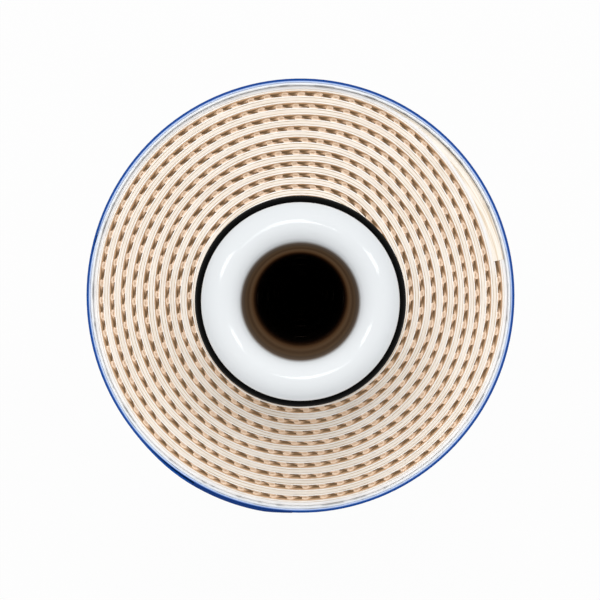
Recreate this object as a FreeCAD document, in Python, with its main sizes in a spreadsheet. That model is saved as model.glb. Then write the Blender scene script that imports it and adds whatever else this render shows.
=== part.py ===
"""Spiral-wound reverse-osmosis element of the small household size, standing on its feed end.

A perforated permeate tube carries one long leaf, wound round it from the tube outwards. Each turn
holds, from the inside, the permeate carrier, one half of the folded membrane sheet, the feed spacer
net and the other half of the membrane. The carrier runs on for one more turn over the leaf, then
come the turns of clear film, a blue outer tape and, near the feed end, a rubber brine seal. Two
O-rings seal the product end of the tube, and a plug closes its feed end.

Millimetres and degrees. +Z is the tube's axis, from the feed end (z = 0) to the product end.
"""
import FreeCAD, Part
import math
import os
import Sketcher

# Every size that can be chosen by itself: its name, its value and what it is.
SIZES = [
    # permeate tube
    ("tube_diameter", 17.0, "outside of the permeate tube"),
    ("bore_diameter", 9.8, "inside of the permeate tube"),
    ("feed_stub", 22.0, "tube standing out of the wrap at the feed end"),
    ("product_stub", 22.0, "tube standing out of the wrap at the product end"),
    ("tip_land", 0.2, "flat ring left on top of the rounded product tip"),
    ("end_chamfer", 0.5, "chamfer round the feed end of the tube"),
    ("hole_diameter", 1.6, "permeate hole in the tube's wall"),
    ("hole_margin", 14.0, "first and last permeate hole from the leaf's edge"),
    ("hole_levels", 6, "heights at which each row of holes is drilled"),
    ("row_shift", 12.0, "height between the two crossed rows of holes"),
    # plug in the feed end
    ("socket_diameter", 10.8, "socket for the plug, wider than the bore"),
    ("plug_length", 12.0, "length of the plug"),
    ("plug_recess", 0.6, "plug's face inside the end of the tube"),
    ("plug_play", 0.03, "glue film round the plug"),
    ("plug_chamfer", 0.4, "chamfer on both ends of the plug"),
    # O-rings
    ("cord_diameter", 2.4, "thickness of the O-ring's cord"),
    ("groove_diameter", 13.7, "bottom of an O-ring groove"),
    ("groove_width", 3.0, "width of an O-ring groove"),
    ("tip_to_ring", 4.7, "tip of the tube to the middle of the first O-ring"),
    ("ring_spacing", 5.6, "middle to middle of the two O-rings"),
    # wound leaf
    ("leaf_width", 253.0, "width of the leaf, along the tube"),
    ("leaf_turns", 11, "turns of the whole leaf"),
    ("carrier_thickness", 0.32, "permeate carrier, a knitted cloth"),
    ("membrane_thickness", 0.15, "one half of the folded membrane"),
    ("spacer_thickness", 0.50, "feed spacer net"),
    ("winding_play", 0.01, "air between one wound layer and the next"),
    ("spacer_setback", 1.0, "spacer's edge behind the leaf's edge, at both ends"),
    ("climb_angle", 70.0, "sector in which every turn climbs on to the next"),
    ("climb_start", 10.0, "direction in which that sector begins"),
    ("fold_lead", 4.0, "angle from the carrier's edge to the membrane's fold"),
    ("glue_tip_angle", 11.0, "thin end of a glue wedge that is left out"),
    # film and tape round the leaf
    ("film_thickness", 0.20, "clear film"),
    ("film_play", 0.07, "air between the turns of film"),
    ("film_turns", 2, "turns of film"),
    ("film_start", 150.0, "direction of the film's inner edge"),
    ("tape_thickness", 0.18, "blue outer tape"),
    ("tape_start", 215.0, "direction of the tape's inner edge"),
    ("tape_lap_angle", 28.0, "tape that covers its own inner edge"),
    ("wrap_climb_angle", 25.0, "sector in which film or tape climbs over its own edge"),
    ("wrap_overhang", 0.5, "film and tape beyond the leaf, at both ends"),
    # brine seal
    ("seal_offset", 6.0, "brine seal from the feed edge of the wrap"),
    ("seal_height", 11.0, "height of the brine seal"),
    ("seal_play", 0.02, "gap between the tape's lap and the seal"),
    ("seal_wall", 1.0, "wall that grips the wrap"),
    ("heel_thickness", 1.3, "rubber outside the floor of the cup"),
    ("cup_depth", 7.5, "depth of the cup between wall and lip"),
    ("cup_floor", 0.4, "width of the cup at its floor"),
    ("lip_reach", 3.0, "free edge of the lip outside the bore of the seal"),
    ("lip_thickness", 0.8, "thickness of the lip at its edge"),
    ("lip_chamfer", 0.3, "chamfer on both sides of the lip's edge"),
    ("lip_setback", 0.8, "lip's edge above the foot of the wall"),
    ("heel_chamfer", 0.4, "chamfer round the heel's outer edge"),
]


def make_sheet(document):
    """Spreadsheet with one row for each size; the cell's alias is the name of the size."""
    sheet = document.addObject("Spreadsheet::Sheet", "Sizes")
    for row, (name, value, note) in enumerate(SIZES, start=1):
        sheet.set(f"A{row}", note)
        sheet.set(f"B{row}", str(value))
        sheet.setAlias(f"B{row}", name)
    document.recompute()
    return sheet


doc = FreeCAD.newDocument("membrane_element")
sheet = make_sheet(doc)


def size(name):
    """Value of one size, read from the sheet."""
    return float(sheet.get(name))


def angle(name):
    """An angle from the sheet, in radians."""
    return math.radians(size(name))


# Heights that several pieces share, as formulas on the sheet.
LEAF_FOOT = "(Sizes.feed_stub + Sizes.wrap_overhang)"
WRAP_WIDTH = "(Sizes.leaf_width + 2 * Sizes.wrap_overhang)"
TUBE_LENGTH = f"(Sizes.feed_stub + {WRAP_WIDTH} + Sizes.product_stub)"
PLUG_TOP = "(Sizes.plug_recess + Sizes.plug_length)"
FIRST_RING = f"({TUBE_LENGTH} - Sizes.tip_to_ring)"
SECOND_RING = f"({FIRST_RING} - Sizes.ring_spacing)"


# ---------------------------------------------------------------- PartDesign helpers

def make_body(name):
    body = doc.addObject("PartDesign::Body", name)
    body.Label = name
    return body


def origin_part(body, role):
    """Plane or axis of a body's own origin, such as XZ_Plane or Z_Axis."""
    return next(part for part in body.Origin.OriginFeatures if part.Role == role)


def make_sketch(body, role, name):
    sketch = body.newObject("Sketcher::SketchObject", name)
    sketch.AttachmentSupport = (origin_part(body, role), [""])
    sketch.MapMode = "FlatFace"
    return sketch


def bind_point(sketch, geometry, place, across, up):
    """Ties a point of the sketch to two formulas, its distances from the sketch's origin."""
    for kind, formula in (("DistanceX", across), ("DistanceY", up)):
        value = float(sketch.evalExpression(formula))
        number = sketch.addConstraint(Sketcher.Constraint(kind, -1, 1, geometry, place, value))
        sketch.setExpression(f"Constraints[{number}]", formula)


def draw_outline(sketch, corners):
    """Closed outline of straight lines through corners, each a pair of formulas."""
    points = [FreeCAD.Vector(float(sketch.evalExpression(across)), float(sketch.evalExpression(up)), 0)
              for across, up in corners]
    following = points[1:] + points[:1]
    for start, end in zip(points, following):
        sketch.addGeometry(Part.LineSegment(start, end), False)
    for index, (across, up) in enumerate(corners):
        after = (index + 1) % len(corners)
        sketch.addConstraint(Sketcher.Constraint("Coincident", index, 2, after, 1))
        bind_point(sketch, index, 1, across, up)


def draw_circle(sketch, diameter, across, up):
    """Circle from three formulas: its diameter and the two distances of its centre."""
    value = float(sketch.evalExpression(diameter))
    centre = FreeCAD.Vector(float(sketch.evalExpression(across)), float(sketch.evalExpression(up)), 0)
    sketch.addGeometry(Part.Circle(centre, FreeCAD.Vector(0, 0, 1), value / 2), False)
    number = sketch.addConstraint(Sketcher.Constraint("Diameter", 0, value))
    sketch.setExpression(f"Constraints[{number}]", diameter)
    bind_point(sketch, 0, 3, across, up)


def revolve(body, sketch, name):
    """Full turn of a sketch about its upright axis."""
    turned = body.newObject("PartDesign::Revolution", name)
    turned.Profile = sketch
    turned.ReferenceAxis = (sketch, ["V_Axis"])
    turned.Angle = 360
    sketch.Visibility = False
    doc.recompute()
    return turned


def rim_edges(feature, height, radii=None):
    """Names of the round edges at one height, of any radius or of the radii given."""
    names = []
    for number, edge in enumerate(feature.Shape.Edges, start=1):
        if not isinstance(edge.Curve, Part.Circle) or abs(edge.Curve.Center.z - height) > 1e-6:
            continue
        if radii is None or min(abs(edge.Curve.Radius - radius) for radius in radii) < 1e-6:
            names.append(f"Edge{number}")
    return names


def dress(body, kind, name, base, edges, prop, formula):
    """Fillet or chamfer on the named edges of a feature, with its size bound to a formula."""
    dressed = body.newObject(kind, name)
    dressed.Base = (base, edges)
    dressed.setExpression(prop, formula)
    body.Tip = dressed
    doc.recompute()
    return dressed


# ---------------------------------------------------------------- the tube and what is on it

def make_permeate_tube():
    """Turned tube with a plug socket, two O-ring grooves and two crossed rows of holes."""
    body = make_body("permeate_tube")
    profile = make_sketch(body, "XZ_Plane", "tube_profile")
    outside, bore = "Sizes.tube_diameter / 2", "Sizes.bore_diameter / 2"
    root, socket = "Sizes.groove_diameter / 2", "Sizes.socket_diameter / 2"
    corners = [(bore, PLUG_TOP), (bore, TUBE_LENGTH), (outside, TUBE_LENGTH)]
    for middle in (FIRST_RING, SECOND_RING):
        top, bottom = f"{middle} + Sizes.groove_width / 2", f"{middle} - Sizes.groove_width / 2"
        corners += [(outside, top), (root, top), (root, bottom), (outside, bottom)]
    corners += [(outside, "0"), (socket, "0"), (socket, PLUG_TOP)]
    draw_outline(profile, corners)
    turned = revolve(body, profile, "tube_turned")

    tip_round = "((Sizes.tube_diameter - Sizes.bore_diameter) / 2 - Sizes.tip_land) / 2"
    tip_height = turned.Shape.BoundBox.ZMax
    rounded = dress(body, "PartDesign::Fillet", "tip_round", turned,
                    rim_edges(turned, tip_height), "Radius", tip_round)
    outer_rim = rim_edges(rounded, 0, [size("tube_diameter") / 2])
    dress(body, "PartDesign::Chamfer", "feed_end_chamfer", rounded, outer_rim, "Size", "Sizes.end_chamfer")

    first_hole = f"{LEAF_FOOT} + Sizes.hole_margin"
    drill_row(body, "XZ_Plane", "front_row", first_hole)
    drill_row(body, "YZ_Plane", "side_row", f"{first_hole} + Sizes.row_shift")
    return body


def drill_row(body, plane, name, height):
    """Hole right through both walls at a height, repeated up the tube."""
    sketch = make_sketch(body, plane, f"{name}_sketch")
    draw_circle(sketch, "Sizes.hole_diameter", "0", height)
    hole = body.newObject("PartDesign::Pocket", f"{name}_hole")
    hole.Profile = sketch
    hole.Midplane = True
    hole.setExpression("Length", "2 * Sizes.tube_diameter")
    doc.recompute()
    row = body.newObject("PartDesign::LinearPattern", name)
    row.Originals = [hole]
    row.Direction = (origin_part(body, "Z_Axis"), [""])
    row.setExpression("Length", "Sizes.leaf_width - 2 * Sizes.hole_margin - Sizes.row_shift")
    row.setExpression("Occurrences", "Sizes.hole_levels")
    body.Tip = row
    doc.recompute()


def make_plug():
    """Plug glued into the socket at the feed end, against the shoulder of the bore."""
    body = make_body("tube_end_plug")
    sketch = make_sketch(body, "XY_Plane", "plug_sketch")
    draw_circle(sketch, "Sizes.socket_diameter - 2 * Sizes.plug_play", "0", "0")
    pad = body.newObject("PartDesign::Pad", "plug_pad")
    pad.Profile = sketch
    pad.setExpression("Length", "Sizes.plug_length")
    doc.recompute()
    edges = rim_edges(pad, 0) + rim_edges(pad, size("plug_length"))
    dress(body, "PartDesign::Chamfer", "plug_chamfer", pad, edges, "Size", "Sizes.plug_chamfer")
    body.setExpression(".Placement.Base.z", "Sizes.plug_recess")
    return body


def make_o_ring(name, height):
    """O-ring lying on the bottom of its groove."""
    ring = doc.addObject("Part::Torus", name)
    ring.Label = name
    ring.setExpression("Radius1", "(Sizes.groove_diameter + Sizes.cord_diameter) / 2")
    ring.setExpression("Radius2", "Sizes.cord_diameter / 2")
    ring.setExpression(".Placement.Base.z", height)
    return ring


# ---------------------------------------------------------------- winding

FULL_TURN = 2 * math.pi
TAPE_ARCS = 6


def polar(centre, radius, direction):
    return centre + FreeCAD.Vector(radius * math.cos(direction), radius * math.sin(direction), 0)


def arc(centre, radius, start, end):
    """Arc about a centre from one direction to another, in radians."""
    middle = (start + end) / 2
    points = [polar(centre, radius, direction) for direction in (start, middle, end)]
    return Part.Arc(*points).toShape()


def extrude(edges, width):
    """Solid of a given width on a closed flat outline, whatever the order of its edges."""
    wire = Part.Wire(Part.__sortEdges__(edges))
    return Part.Face(wire).extrude(FreeCAD.Vector(0, 0, width))


class Winding:
    """Way of a strip wound on a round core.

    Each turn is a circle about the axis, but for the climb sector, where the strip climbs one pitch
    to the next turn. It climbs on two arcs of equal angle, tangent to each other and to the circles.
    Their centres are the same for every layer and every turn, so that all the layers nest.
    Directions are counted from the start of the climb sector. A very thin strip has its circles in
    several arcs, so that its two faces are meshed alike and it keeps its thickness.
    """

    def __init__(self, core_radius, pitch, climb, arcs=1):
        self.core_radius = core_radius
        self.arcs = arcs
        self.pitch = pitch
        self.climb = climb
        self.axis = FreeCAD.Vector(0, 0, 0)
        self.reach = pitch / (2 * (1 - math.cos(climb / 2)))
        self.rising = polar(self.axis, -self.reach, 0)
        self.settling = polar(self.axis, self.reach, climb)

    def radius(self, turn, height):
        """Radius of a turn at a height above the underside of the whole strip."""
        return self.core_radius + turn * self.pitch + height

    def point(self, turn, height, direction):
        return polar(self.axis, self.radius(turn, height), direction)

    def rising_arc(self, turn, height, start, end):
        return arc(self.rising, self.radius(turn, height) + self.reach, start, end)

    def settling_arc(self, turn, height, start, end):
        return arc(self.settling, self.radius(turn + 1, height) - self.reach, start, end)

    def line(self, height, start, last_turn, end):
        """Edges at one height, from a direction on the first turn to one on the last turn."""
        edges = []
        for turn in range(last_turn + 1):
            begin = start if turn == 0 else self.climb
            finish = end if turn == last_turn else FULL_TURN
            share = (finish - begin) / self.arcs
            for number in range(self.arcs):
                first = begin + number * share
                edges.append(arc(self.axis, self.radius(turn, height), first, first + share))
            if turn < last_turn:
                edges.append(self.rising_arc(turn, height, 0, self.climb / 2))
                edges.append(self.settling_arc(turn, height, self.climb / 2, self.climb))
        return edges

    def cap(self, turn, direction, low, high):
        """Straight edge across the strip between two heights."""
        return Part.makeLine(self.point(turn, low, direction), self.point(turn, high, direction))

    def strip(self, low, high, start, last_turn, end, width):
        """Solid of one strip between two heights, wound through all its turns."""
        edges = self.line(low, start, last_turn, end) + self.line(high, start, last_turn, end)
        edges += [self.cap(0, start, low, high), self.cap(last_turn, end, low, high)]
        return extrude(edges, width)


def leaf_heights():
    """Underside and top of each layer above the tube's surface, in winding order."""
    heights = {}
    level = size("winding_play")
    for name, layer in (("carrier", "carrier"), ("inner_membrane", "membrane"),
                        ("spacer", "spacer"), ("outer_membrane", "membrane")):
        thickness = size(f"{layer}_thickness")
        heights[name] = (level, level + thickness)
        level += thickness + size("winding_play")
    heights["pitch"] = level - size("winding_play")
    return heights


HEIGHTS = leaf_heights()
LAST_LEAF_TURN = int(size("leaf_turns")) - 1
leaf = Winding(size("tube_diameter") / 2, HEIGHTS["pitch"], angle("climb_angle"))
leaf_radius = leaf.radius(LAST_LEAF_TURN + 1, HEIGHTS["carrier"][1])

film_pitch = size("film_thickness") + size("film_play")
film = Winding(leaf_radius + size("winding_play"), film_pitch, angle("wrap_climb_angle"))
film_radius = film.radius(size("film_turns") - 1, size("film_thickness"))

tape_pitch = size("tape_thickness") + size("winding_play")
tape = Winding(film_radius + size("winding_play"), tape_pitch, angle("wrap_climb_angle"), TAPE_ARCS)
tape_radius = tape.radius(1, size("tape_thickness"))


def place_wound(name, shape, foot, direction):
    """Wound solid as an object of its own, turned to its direction and lifted to its foot."""
    wound = doc.addObject("Part::Feature", name)
    wound.Label = name
    wound.Shape = shape
    turn = FreeCAD.Rotation(FreeCAD.Vector(0, 0, 1), direction)
    wound.Placement = FreeCAD.Placement(FreeCAD.Vector(0, 0, foot), turn)
    return wound


def place_in_leaf(name, shape, setback=0.0):
    """Solid of the leaf, with its foot the given setback inside the leaf's edge."""
    foot = size("feed_stub") + size("wrap_overhang") + setback
    return place_wound(name, shape, foot, size("climb_start"))


def make_carrier():
    """Cloth that starts on the tube and covers the whole leaf with one more turn at the end."""
    low, high = HEIGHTS["carrier"]
    shape = leaf.strip(low, high, leaf.climb, LAST_LEAF_TURN + 1, FULL_TURN, size("leaf_width"))
    return place_in_leaf("permeate_carrier", shape)


def make_membrane():
    """One sheet folded round the inner edge of the spacer, so that both halves are wound."""
    inner_low, inner_high = HEIGHTS["inner_membrane"]
    outer_low, outer_high = HEIGHTS["outer_membrane"]
    start = leaf.climb + angle("fold_lead")
    edges = []
    for height in (inner_low, inner_high, outer_low, outer_high):
        edges += leaf.line(height, start, LAST_LEAF_TURN, FULL_TURN)
    for low, high in ((inner_low, outer_high), (inner_high, outer_low)):
        ends = [leaf.point(0, height, start) for height in (low, high)]
        middle = (ends[0] + ends[1]) / 2
        nose = polar(middle, -(high - low) / 2, start + math.pi / 2)
        edges.append(Part.Arc(ends[0], nose, ends[1]).toShape())
    for low, high in (HEIGHTS["inner_membrane"], HEIGHTS["outer_membrane"]):
        edges.append(leaf.cap(LAST_LEAF_TURN, FULL_TURN, low, high))
    return place_in_leaf("membrane_sheet", extrude(edges, size("leaf_width")))


def make_spacer():
    """Net between the two halves of the membrane, with its edges set back from theirs."""
    low, high = HEIGHTS["spacer"]
    setback = size("spacer_setback")
    start = leaf.climb + angle("fold_lead")
    width = size("leaf_width") - 2 * setback
    shape = leaf.strip(low, high, start, LAST_LEAF_TURN, FULL_TURN, width)
    return place_in_leaf("feed_spacer", shape, setback)


def direction_of(point):
    return math.atan2(point.y, point.x)


def make_root_glue():
    """Glue in the wedge between the tube and the first climb, up to the carrier's edge."""
    floor_radius = leaf.radius(0, HEIGHTS["carrier"][0])
    tip = angle("glue_tip_angle")
    thin_end = polar(leaf.rising, leaf.radius(0, 0) + leaf.reach, tip)
    direction = direction_of(thin_end)
    edges = [leaf.rising_arc(0, 0, tip, leaf.climb / 2),
             leaf.settling_arc(0, 0, leaf.climb / 2, leaf.climb),
             arc(leaf.axis, floor_radius, direction, leaf.climb),
             Part.makeLine(polar(leaf.axis, floor_radius, direction), thin_end),
             Part.makeLine(polar(leaf.axis, floor_radius, leaf.climb), leaf.point(1, 0, leaf.climb))]
    return place_in_leaf("leaf_root_glue", extrude(edges, size("leaf_width")))


def make_tail_glue():
    """Glue that fills the step behind the tail of the leaf, on the last climb of the carrier."""
    floor = HEIGHTS["carrier"][1] + size("winding_play")
    last = leaf.climb - angle("glue_tip_angle")
    settled = leaf.radius(LAST_LEAF_TURN + 1, floor) - leaf.reach
    thin_end = polar(leaf.settling, settled, last)
    direction = direction_of(thin_end)
    edges = [leaf.rising_arc(LAST_LEAF_TURN, floor, 0, leaf.climb / 2),
             leaf.settling_arc(LAST_LEAF_TURN, floor, leaf.climb / 2, last),
             arc(leaf.axis, leaf_radius, 0, direction),
             Part.makeLine(thin_end, polar(leaf.axis, leaf_radius, direction)),
             Part.makeLine(leaf.point(LAST_LEAF_TURN, floor, 0), polar(leaf.axis, leaf_radius, 0))]
    return place_in_leaf("leaf_tail_glue", extrude(edges, size("leaf_width")))


def make_wrap(name, winding, thickness, last_turn, end, direction):
    """Film or tape over the leaf, a little wider than the leaf at both ends."""
    width = size("leaf_width") + 2 * size("wrap_overhang")
    shape = winding.strip(0, thickness, winding.climb, last_turn, end, width)
    return place_wound(name, shape, size("feed_stub"), direction)


def make_film():
    return make_wrap("film_wrap", film, size("film_thickness"), int(size("film_turns")) - 1,
                     FULL_TURN, size("film_start"))


def make_tape():
    return make_wrap("outer_tape", tape, size("tape_thickness"), 1,
                     tape.climb + angle("tape_lap_angle"), size("tape_start"))


# ---------------------------------------------------------------- brine seal

def make_brine_seal():
    """Rubber cup ring that grips the wrap, its lip open towards the feed."""
    body = make_body("brine_seal")
    profile = make_sketch(body, "XZ_Plane", "seal_profile")
    inside = f"{tape_radius} + Sizes.seal_play"
    lip = f"{inside} + Sizes.lip_reach"
    wall = f"{inside} + Sizes.seal_wall"
    floor_edge = f"{wall} + Sizes.cup_floor"
    heel = f"{floor_edge} + Sizes.heel_thickness"
    corners = [(inside, "0"), (wall, "0"), (wall, "Sizes.cup_depth"),
               (floor_edge, "Sizes.cup_depth"),
               (f"{lip} - Sizes.lip_thickness", "Sizes.lip_setback"), (lip, "Sizes.lip_setback"),
               (heel, "Sizes.cup_depth"), (heel, "Sizes.seal_height"), (inside, "Sizes.seal_height")]
    draw_outline(profile, corners)
    moulded = revolve(body, profile, "seal_moulded")
    lip_edges = rim_edges(moulded, size("lip_setback"))
    trimmed = dress(body, "PartDesign::Chamfer", "lip_chamfer", moulded, lip_edges,
                    "Size", "Sizes.lip_chamfer")
    heel_edge = rim_edges(trimmed, size("seal_height"), [trimmed.evalExpression(heel)])
    dress(body, "PartDesign::Chamfer", "heel_chamfer", trimmed, heel_edge,
          "Size", "Sizes.heel_chamfer")
    body.setExpression(".Placement.Base.z", "Sizes.feed_stub + Sizes.seal_offset")
    return body


# ---------------------------------------------------------------- the element

pieces = [
    make_permeate_tube(),
    make_plug(),
    make_o_ring("o_ring_outer", FIRST_RING),
    make_o_ring("o_ring_inner", SECOND_RING),
    make_root_glue(),
    make_carrier(),
    make_membrane(),
    make_spacer(),
    make_tail_glue(),
    make_film(),
    make_tape(),
    make_brine_seal(),
]
doc.recompute()

for part in doc.Objects:
    if "Invalid" in part.State or "Error" in part.State:
        raise RuntimeError(f"{part.Label} failed: {part.State}")
for piece in pieces:
    if piece.Shape.isNull() or not piece.Shape.isValid() or len(piece.Shape.Solids) != 1:
        raise RuntimeError(f"{piece.Label} is not one valid solid")

os.makedirs("parts", exist_ok=True)
for piece in pieces:
    piece.Shape.exportStep(f"parts/{piece.Label}.step")
    print(f"{piece.Label}: {piece.Shape.Volume:.0f} mm3, {len(piece.Shape.Faces)} faces")
print(f"leaf radius {leaf_radius:.2f}, film {film_radius:.2f}, tape {tape_radius:.2f}")
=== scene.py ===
# %% [markdown]
# # A spiral wound membrane element
# This lesson dresses the CAD model of a reverse osmosis element: a plastic tube with a leaf of
# membrane, net and cloth rolled round it, a wrap of film and blue tape, and a rubber brine seal.
# The CAD solids give every place and size. Each step says what a piece is on the real element,
# how it could be made in Blender, and why it is made the way it is here.

# %% Load the element
import math

import bmesh
import bpy
import numpy as np
from mathutils import Matrix, Vector


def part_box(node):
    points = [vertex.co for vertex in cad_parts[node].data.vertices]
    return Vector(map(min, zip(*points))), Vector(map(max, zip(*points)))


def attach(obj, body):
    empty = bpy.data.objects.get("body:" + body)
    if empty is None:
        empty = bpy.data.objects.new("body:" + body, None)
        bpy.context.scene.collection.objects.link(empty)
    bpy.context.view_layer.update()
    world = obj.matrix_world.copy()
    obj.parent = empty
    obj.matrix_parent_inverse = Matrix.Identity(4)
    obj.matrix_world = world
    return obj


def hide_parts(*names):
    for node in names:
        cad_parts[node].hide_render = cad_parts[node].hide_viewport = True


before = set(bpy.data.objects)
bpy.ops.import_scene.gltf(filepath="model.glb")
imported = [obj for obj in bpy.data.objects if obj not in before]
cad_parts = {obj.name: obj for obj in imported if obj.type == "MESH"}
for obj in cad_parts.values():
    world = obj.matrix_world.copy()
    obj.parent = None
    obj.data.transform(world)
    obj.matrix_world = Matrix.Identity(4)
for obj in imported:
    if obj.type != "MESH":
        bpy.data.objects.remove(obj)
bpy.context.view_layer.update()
MM = 0.001
FULL_TURN = 2 * math.pi

# %% [markdown]
# ## Sizes
# Heights come from the boxes of the CAD nodes. A box says nothing about the layers inside a
# roll, so their heights above the underside of a turn are written here, in the order in which
# they are rolled. One place for them keeps the sheets from cutting into each other.

# %% Sizes of the element
tube_low, tube_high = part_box("permeate_tube")
leaf_low, leaf_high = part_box("permeate_carrier")
wrap_low, wrap_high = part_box("film_wrap")
seal_low, seal_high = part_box("brine_seal")
plug_low, plug_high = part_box("tube_end_plug")

TUBE_RADIUS = 8.5 * MM
BORE_RADIUS = 4.9 * MM
SOCKET_RADIUS = 5.4 * MM
LEAF_PITCH = 1.16 * MM
LEAF_TURNS = 11
CARRIER = (0.01 * MM, 0.33 * MM)
INNER_MEMBRANE = (0.34 * MM, 0.49 * MM)
SPACER = (0.50 * MM, 1.00 * MM)
OUTER_MEMBRANE = (1.01 * MM, 1.16 * MM)
LEAF_RADIUS = TUBE_RADIUS + LEAF_TURNS * LEAF_PITCH + CARRIER[1]
FILM_PITCH = 0.235 * MM
FILM_THICKNESS = 0.195 * MM
TAPE_RADIUS = 22.06 * MM
TAPE_THICKNESS = 0.19 * MM
OVAL = 0.0145
OFF_CENTRE = 0.34 * MM
print("leaf radius, mm:", round(LEAF_RADIUS / MM, 2))

# %% [markdown]
# ## Camera
# The element stands on its feed end, and we look down on its product end from about a hand's
# width above the tube. The camera is a little off the axis and leans a little, so that slightly
# more of the bore's wall shows on one side than on the other.

# %% Camera over the product end
CAMERA_HEIGHT = 101.6 * MM
camera = bpy.data.objects.new("camera", bpy.data.cameras.new("camera"))
bpy.context.scene.collection.objects.link(camera)
camera.data.lens = 72.4
camera.data.sensor_width = 36.0
camera.data.clip_start = 0.01
camera.location = (0.045 * MM, 1.18 * MM, tube_high.z + CAMERA_HEIGHT)
camera.rotation_euler = (-0.01011, 0.00075, 0.0)
bpy.context.scene.camera = camera
bpy.context.scene.view_settings.view_transform = "Standard"

# %% [markdown]
# ## Sums for shaders
# Shader maths is quicker to read as sums than as boxes and wires. `Wire` holds the output of a
# node and turns +, -, *, / and ** into Math nodes. `Finish` is one material: its `node` method
# makes any other node from a type, the settings to make first, and the values of its sockets.

# %% A wire that can be added and multiplied
class Wire:
    """Output of a shader node."""

    def __init__(self, finish, socket):
        self.finish = finish
        self.socket = socket

    def join(self, operation, first, second):
        return self.finish.node("Math", {"operation": operation}, {0: first, 1: second})

    def __add__(self, other):
        return self.join("ADD", self, other)

    def __radd__(self, other):
        return self.join("ADD", other, self)

    def __sub__(self, other):
        return self.join("SUBTRACT", self, other)

    def __rsub__(self, other):
        return self.join("SUBTRACT", other, self)

    def __mul__(self, other):
        return self.join("MULTIPLY", self, other)

    def __rmul__(self, other):
        return self.join("MULTIPLY", other, self)

    def __truediv__(self, other):
        return self.join("DIVIDE", self, other)

    def __pow__(self, other):
        return self.join("POWER", self, other)


# %% A finish, made of nodes
class Finish:
    """A material with a Principled shader and the nodes that feed it."""

    def __init__(self, name, **steady):
        self.material = bpy.data.materials.new(name)
        self.material.use_nodes = True
        self.tree = self.material.node_tree
        self.shader = self.tree.nodes["Principled BSDF"]
        self.place = self.node("TexCoord", output="Object")
        self.feed(**steady)

    def link(self, socket, value):
        if isinstance(value, Wire):
            self.tree.links.new(value.socket, socket)
        else:
            socket.default_value = value

    def feed(self, **sockets):
        """Sets sockets of the shader: base_color feeds Base Color."""
        for name, value in sockets.items():
            title = name.replace("_", " ").title().replace("Ior", "IOR")
            self.link(self.shader.inputs[title], value)

    def node(self, kind, settings=None, sockets=None, output=0):
        made = self.tree.nodes.new("ShaderNode" + kind)
        for name, value in (settings or {}).items():
            if name == "stops":
                while len(made.color_ramp.elements) < len(value):
                    made.color_ramp.elements.new(0.5)
                for element, (position, colour) in zip(made.color_ramp.elements, value):
                    element.position = position
                    element.color = colour
            else:
                setattr(made, name, value)
        for name, value in (sockets or {}).items():
            self.link(made.inputs[name], value)
        return Wire(self, made.outputs[output])

    def mix(self, share, first, second):
        """Colour between two colours."""
        return self.node("Mix", {"data_type": "RGBA"}, {0: share, 6: first, 7: second}, output=2)

    def step(self, value, low, high, start=0.0, end=1.0):
        """Smooth step from start, below low, to end, above high."""
        limits = {"Value": value, "From Min": low, "From Max": high, "To Min": start, "To Max": end}
        return self.node("MapRange", {"interpolation_type": "SMOOTHSTEP"}, limits)

    def noise(self, scale, detail=3.0, roughness=0.5, place=None):
        sockets = {"Vector": place or self.place, "Scale": scale, "Detail": detail,
                   "Roughness": roughness}
        return self.node("TexNoise", None, sockets, output="Fac")

    def stretched(self, place, x, y, z):
        """Place with each of its directions scaled."""
        return self.node("VectorMath", {"operation": "MULTIPLY"}, {0: place, 1: (x, y, z)})

    def parts(self, place):
        """The three numbers of a place."""
        made = self.node("SeparateXYZ", None, {0: place})
        return [Wire(self, made.socket.node.outputs[axis]) for axis in "XYZ"]

    def round_place(self):
        """Radius from the axis, direction round it and height, in metres and radians."""
        x, y, z = self.parts(self.place)
        radius = (x * x + y * y) ** 0.5
        return radius, self.node("Math", {"operation": "ARCTAN2"}, {0: y, 1: x}), z

    def flat_place(self):
        """Place on a rolled sheet before it was rolled: along, through and up the sheet."""
        return self.node("Attribute", {"attribute_name": "flat"}, output="Vector")

    def relief(self, height, distance, strength=1.0):
        """Feeds a height, in shares of a distance in metres, to the shader as bumps."""
        bump = self.node("Bump", None, {"Height": height, "Distance": distance,
                                        "Strength": strength})
        self.feed(normal=bump)


def colour(red, green, blue):
    """Colour written as it looks on a screen, from 0 to 255, as light."""
    shares = [value / 255 for value in (red, green, blue)]
    return (*[s / 12.92 if s < 0.04045 else ((s + 0.055) / 1.055) ** 2.4 for s in shares], 1.0)
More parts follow.
